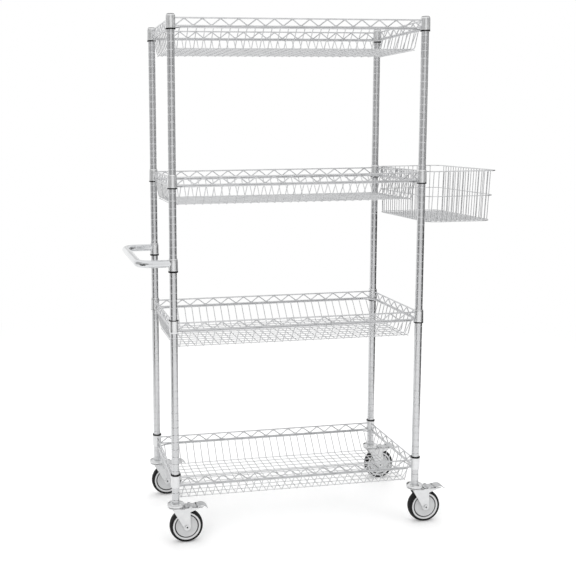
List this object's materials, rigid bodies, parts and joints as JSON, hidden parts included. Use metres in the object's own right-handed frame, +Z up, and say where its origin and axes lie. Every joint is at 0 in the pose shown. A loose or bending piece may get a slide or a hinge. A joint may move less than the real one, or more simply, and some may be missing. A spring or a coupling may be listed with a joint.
{
  "type": "wire picking cart",
  "caption": "Wire shelving cart with basket shelves on grooved posts, a bent push handle, a hung side basket and braked swivel castors.",
  "frame": {"origin": "on the floor, centred between the four posts", "axes": "+Z up, +X to the end with the side basket, -Y the front in the picture"},
  "size_m": [1.2712, 0.48, 1.763],
  "materials": {
    "post_zinc": "bright zinc plated",
    "collar_zinc": "bright zinc plated",
    "wire_chrome": "chrome plated wire",
    "handle_chrome": "chrome plated tube",
    "castor_zinc": "zinc plated",
    "pedal_zinc": "zinc plated",
    "bearing_steel": "polished",
    "sleeve_black": "moulded",
    "cap_plastic": "moulded",
    "tyre_rubber": "smooth solid rubber",
    "hub_plastic": "moulded"
  },
  "bodies": {
    "root": {"post_front_left": "post_zinc", "post_front_right": "post_zinc", "post_rear_left": "post_zinc", "post_rear_right": "post_zinc", "post_caps": "cap_plastic", "sleeves_bottom": "sleeve_black", "collars_bottom": "collar_zinc", "rim_bottom": "wire_chrome", "basket_walls_bottom": "wire_chrome", "basket_floor_bottom": "wire_chrome", "sleeves_lower": "sleeve_black", "collars_lower": "collar_zinc", "rim_lower": "wire_chrome", "basket_walls_lower": "wire_chrome", "basket_floor_lower": "wire_chrome", "sleeves_upper": "sleeve_black", "collars_upper": "collar_zinc", "rim_upper": "wire_chrome", "basket_walls_upper": "wire_chrome", "basket_floor_upper": "wire_chrome", "sleeves_top": "sleeve_black", "collars_top": "collar_zinc", "rim_top": "wire_chrome", "basket_walls_top": "wire_chrome", "basket_floor_top": "wire_chrome", "handle_sleeves": "sleeve_black", "handle_collars": "collar_zinc", "push_handle": "handle_chrome", "swivel_balls": "bearing_steel", "castor_stem_front_left": "castor_zinc", "castor_stem_front_right": "castor_zinc", "castor_stem_rear_left": "castor_zinc", "castor_stem_rear_right": "castor_zinc"},
    "side_basket": {"side_basket_walls": "wire_chrome", "side_basket_corners": "wire_chrome", "side_basket_floor": "wire_chrome", "side_basket_hooks": "wire_chrome"},
    "fork_front_left": {"castor_fork_front_left": "castor_zinc", "castor_bolts_front_left": "castor_zinc"},
    "wheel_front_left": {"castor_tyre_front_left": "tyre_rubber", "castor_hub_front_left": "hub_plastic"},
    "pedal_front_left": {"brake_pedal_front_left": "pedal_zinc"},
    "fork_front_right": {"castor_fork_front_right": "castor_zinc", "castor_bolts_front_right": "castor_zinc"},
    "wheel_front_right": {"castor_tyre_front_right": "tyre_rubber", "castor_hub_front_right": "hub_plastic"},
    "pedal_front_right": {"brake_pedal_front_right": "pedal_zinc"},
    "fork_rear_left": {"castor_fork_rear_left": "castor_zinc", "castor_bolts_rear_left": "castor_zinc"},
    "wheel_rear_left": {"castor_tyre_rear_left": "tyre_rubber", "castor_hub_rear_left": "hub_plastic"},
    "pedal_rear_left": {"brake_pedal_rear_left": "pedal_zinc"},
    "fork_rear_right": {"castor_fork_rear_right": "castor_zinc", "castor_bolts_rear_right": "castor_zinc"},
    "wheel_rear_right": {"castor_tyre_rear_right": "tyre_rubber", "castor_hub_rear_right": "hub_plastic"},
    "pedal_rear_right": {"brake_pedal_rear_right": "pedal_zinc"}
  },
  "joints": [
    {"name": "side_basket_lift", "type": "slide", "parent": "root", "child": "side_basket", "axis": [0, 0, 1], "range_m": [0, 0.03]},
    {"name": "swivel_front_left", "type": "hinge", "parent": "root", "child": "fork_front_left", "pos_m": [-0.431, -0.211, 0.1233], "axis": [0, 0, 1], "continuous": true},
    {"name": "wheel_spin_front_left", "type": "hinge", "parent": "fork_front_left", "child": "wheel_front_left", "pos_m": [-0.396, -0.211, 0.0575], "axis": [0, 1, 0], "continuous": true},
    {"name": "brake_front_left", "type": "hinge", "parent": "fork_front_left", "child": "pedal_front_left", "pos_m": [-0.383, -0.211, 0.1233], "axis": [0, 1, 0], "range_deg": [0, 10]},
    {"name": "swivel_front_right", "type": "hinge", "parent": "root", "child": "fork_front_right", "pos_m": [0.431, -0.211, 0.1233], "axis": [0, 0, 1], "continuous": true},
    {"name": "wheel_spin_front_right", "type": "hinge", "parent": "fork_front_right", "child": "wheel_front_right", "pos_m": [0.466, -0.211, 0.0575], "axis": [0, 1, 0], "continuous": true},
    {"name": "brake_front_right", "type": "hinge", "parent": "fork_front_right", "child": "pedal_front_right", "pos_m": [0.479, -0.211, 0.1233], "axis": [0, 1, 0], "range_deg": [0, 10]},
    {"name": "swivel_rear_left", "type": "hinge", "parent": "root", "child": "fork_rear_left", "pos_m": [-0.431, 0.211, 0.1233], "axis": [0, 0, 1], "continuous": true},
    {"name": "wheel_spin_rear_left", "type": "hinge", "parent": "fork_rear_left", "child": "wheel_rear_left", "pos_m": [-0.396, 0.211, 0.0575], "axis": [0, 1, 0], "continuous": true},
    {"name": "brake_rear_left", "type": "hinge", "parent": "fork_rear_left", "child": "pedal_rear_left", "pos_m": [-0.383, 0.211, 0.1233], "axis": [0, 1, 0], "range_deg": [0, 10]},
    {"name": "swivel_rear_right", "type": "hinge", "parent": "root", "child": "fork_rear_right", "pos_m": [0.431, 0.211, 0.1233], "axis": [0, 0, 1], "continuous": true},
    {"name": "wheel_spin_rear_right", "type": "hinge", "parent": "fork_rear_right", "child": "wheel_rear_right", "pos_m": [0.466, 0.211, 0.0575], "axis": [0, 1, 0], "continuous": true},
    {"name": "brake_rear_right", "type": "hinge", "parent": "fork_rear_right", "child": "pedal_rear_right", "pos_m": [0.479, 0.211, 0.1233], "axis": [0, 1, 0], "range_deg": [0, 10]}
  ]
}
